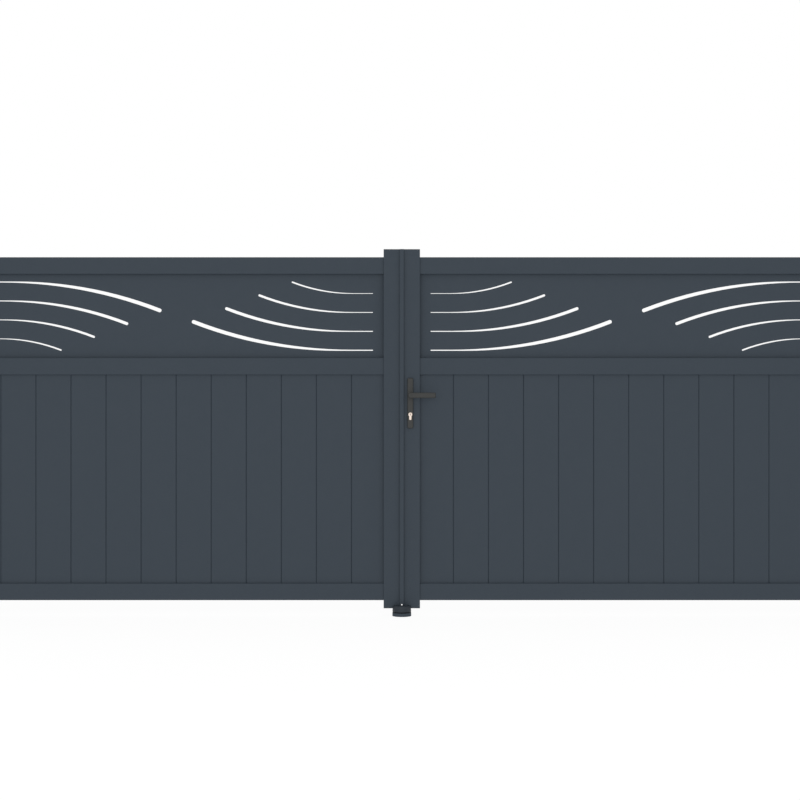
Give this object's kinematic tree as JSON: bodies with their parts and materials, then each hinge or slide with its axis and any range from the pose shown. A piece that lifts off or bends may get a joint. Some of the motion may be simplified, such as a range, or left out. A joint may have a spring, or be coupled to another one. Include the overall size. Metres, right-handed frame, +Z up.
{
  "type": "swing driveway gate",
  "caption": "Double swing driveway gate in anthracite aluminium: upright boards below, a sheet with curved slots above, square posts, lever lock and ground stop.",
  "frame": {"origin": "middle of the underside of the left post's foot plate, at ground level", "axes": "+X along the gate to the right post, +Y into the property (the way the leaves open), +Z up"},
  "size_m": [4.514, 0.22, 1.702],
  "materials": {
    "powder_coat": "matte",
    "cap_plastic": "matte",
    "hinge_steel": "satin",
    "washer_plastic": "matte",
    "bracket_coat": "matte",
    "lock_steel": "satin",
    "handle_coat": "satin",
    "cylinder_brass": "satin",
    "stop_coat": "matte",
    "buffer_rubber": "matte"
  },
  "bodies": {
    "posts": {"left_post": "powder_coat", "left_post_foot": "powder_coat", "left_post_cap": "powder_coat", "left_hinge_brackets": "bracket_coat", "left_hinge_pins": "hinge_steel", "left_hinge_washers": "washer_plastic", "right_post": "powder_coat", "right_post_foot": "powder_coat", "right_post_cap": "powder_coat", "right_hinge_brackets": "bracket_coat", "right_hinge_pins": "hinge_steel", "right_hinge_washers": "washer_plastic", "ground_stop": "stop_coat", "stop_buffer": "buffer_rubber", "stop_ring": "buffer_rubber"},
    "left_leaf": {"left_hinge_stile": "powder_coat", "left_meeting_stile": "powder_coat", "left_stile_caps": "cap_plastic", "left_top_rail": "powder_coat", "left_middle_rail": "powder_coat", "left_bottom_rail": "powder_coat", "left_cut_panel": "powder_coat", "left_boards": "powder_coat", "left_hinge_eyes": "hinge_steel", "left_hinge_nuts": "hinge_steel", "meeting_strip": "powder_coat", "strike_plate": "lock_steel"},
    "right_leaf": {"right_hinge_stile": "powder_coat", "right_meeting_stile": "powder_coat", "right_stile_caps": "cap_plastic", "right_top_rail": "powder_coat", "right_middle_rail": "powder_coat", "right_bottom_rail": "powder_coat", "right_cut_panel": "powder_coat", "right_boards": "powder_coat", "right_hinge_eyes": "hinge_steel", "right_hinge_nuts": "hinge_steel", "outer_handle_plate": "handle_coat", "inner_handle_plate": "handle_coat", "lock_cylinder": "cylinder_brass", "mortise_lock": "lock_steel"},
    "lever_handle": {"outer_lever": "handle_coat", "inner_lever": "handle_coat", "lever_spindle": "lock_steel"}
  },
  "joints": [
    {"name": "left_leaf_swing", "type": "hinge", "parent": "posts", "child": "left_leaf", "pos_m": [0.106, 0, 0.832], "axis": [0, 0, 1], "range_deg": [0, 90]},
    {"name": "right_leaf_swing", "type": "hinge", "parent": "posts", "child": "right_leaf", "pos_m": [4.188, 0, 0.832], "axis": [0, 0, -1], "range_deg": [0, 90]},
    {"name": "lever_turn", "type": "hinge", "parent": "right_leaf", "child": "lever_handle", "pos_m": [2.185, 0, 0.9805], "axis": [0, 1, 0], "range_deg": [0, 45], "stiffness_Nm_per_rad": 1.5, "springref_deg": -28.65}
  ]
}
